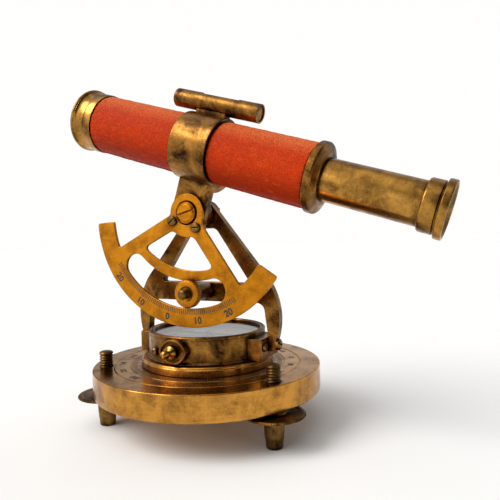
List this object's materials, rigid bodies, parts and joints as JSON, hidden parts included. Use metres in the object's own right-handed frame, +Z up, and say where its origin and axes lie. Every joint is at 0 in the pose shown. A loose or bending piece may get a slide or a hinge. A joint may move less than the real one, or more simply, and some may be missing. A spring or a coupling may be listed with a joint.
{
  "type": "sighting telescope",
  "caption": "Brass alidade: a leather-wrapped draw telescope with vertical arc and spirit level on a standard over a compass and a levelling base.",
  "frame": {"origin": "on the base's axis, in the plane the three feet rest on", "axes": "+Z up, +X towards the eyepiece side, the vertical arc faces -Y"},
  "size_m": [0.1862, 0.1215, 0.1715],
  "materials": {
    "base_brass": "brushed antique brass",
    "dark_brass": "darkened antique brass",
    "gold_brass": "satin orange brass",
    "tube_brass": "polished antique brass",
    "screw_metal": "oxidised brass, turned",
    "leather": "grained leather",
    "dial_face": "white enamel",
    "needle_steel": "blued steel",
    "glass": "clear",
    "black_inside": "matte black"
  },
  "bodies": {
    "base": {"base_plate": "base_brass", "centre_spindle": "dark_brass", "spindle_washer": "screw_metal", "spindle_screw": "screw_metal"},
    "turntable": {"turntable": "base_brass", "compass_housing": "dark_brass", "compass_bezel": "dark_brass", "compass_glass": "glass", "compass_dial": "dial_face", "needle_pivot": "screw_metal", "lug_left": "dark_brass", "lug_right": "dark_brass", "lug_screws": "screw_metal", "standard_frame": "dark_brass", "frame_screw_left": "screw_metal", "frame_screw_right": "screw_metal", "azimuth_boss": "dark_brass", "housing_screw": "screw_metal", "pivot_spacer": "dark_brass", "pivot_screw": "gold_brass", "pivot_nut": "dark_brass", "pivot_washer": "dark_brass", "clamp_stud": "screw_metal", "clamp_sleeve": "dark_brass"},
    "needle": {"compass_needle": "needle_steel", "needle_cap": "needle_steel"},
    "azimuth_clamp": {"azimuth_clamp_screw": "tube_brass"},
    "altitude_clamp": {"clamp_knob": "gold_brass"},
    "telescope": {"trunnion_bracket": "dark_brass", "sector": "gold_brass", "sector_screws": "screw_metal", "collar": "dark_brass", "main_tube": "tube_brass", "leather_front": "leather", "leather_rear": "leather", "objective_bell": "tube_brass", "objective_lens": "glass", "objective_ring": "tube_brass", "end_ring": "dark_brass", "tube_stop": "black_inside", "level_tube": "dark_brass", "level_vial": "glass", "level_front_cap": "dark_brass", "level_rear_cap": "dark_brass", "level_saddle": "dark_brass"},
    "draw": {"draw_tube": "tube_brass", "draw_stop_ring": "tube_brass", "eye_collar": "tube_brass", "eye_cup": "tube_brass", "eye_lens": "glass", "field_lens": "glass"},
    "levelling_1": {"levelling_screw_1": "screw_metal", "levelling_knob_1": "dark_brass"},
    "levelling_2": {"levelling_screw_2": "screw_metal", "levelling_knob_2": "dark_brass"},
    "levelling_3": {"levelling_screw_3": "screw_metal", "levelling_knob_3": "dark_brass"}
  },
  "joints": [
    {"name": "azimuth_turn", "type": "hinge", "parent": "base", "child": "turntable", "pos_m": [0, 0, 0.0315], "axis": [0, 0, 1], "continuous": true},
    {"name": "needle_swing", "type": "hinge", "parent": "turntable", "child": "needle", "pos_m": [0, 0, 0.0423], "axis": [0, 0, 1], "continuous": true},
    {"name": "azimuth_clamp_turn", "type": "hinge", "parent": "turntable", "child": "azimuth_clamp", "pos_m": [0.0001, -0.033, 0.0402], "axis": [0, -1, 0], "range_deg": [0, 180]},
    {"name": "altitude_clamp_turn", "type": "hinge", "parent": "turntable", "child": "altitude_clamp", "pos_m": [0.0015, -0.0195, 0.0658], "axis": [0, -1, 0], "range_deg": [0, 180]},
    {"name": "telescope_tilt", "type": "hinge", "parent": "turntable", "child": "telescope", "pos_m": [0, -0.0145, 0.1044], "axis": [0, 1, 0], "range_deg": [-52, 23]},
    {"name": "draw_slide", "type": "slide", "parent": "telescope", "child": "draw", "axis": [0.9542, 0, -0.299], "range_m": [-0.034, 0.01]},
    {"name": "levelling_turn_1", "type": "hinge", "parent": "base", "child": "levelling_1", "pos_m": [0.04585, -0.02187, 0.023], "axis": [0, 0, 1], "continuous": true},
    {"name": "levelling_turn_2", "type": "hinge", "parent": "base", "child": "levelling_2", "pos_m": [-0.00399, 0.05064, 0.023], "axis": [0, 0, 1], "continuous": true},
    {"name": "levelling_turn_3", "type": "hinge", "parent": "base", "child": "levelling_3", "pos_m": [-0.04187, -0.02877, 0.023], "axis": [0, 0, 1], "continuous": true}
  ]
}
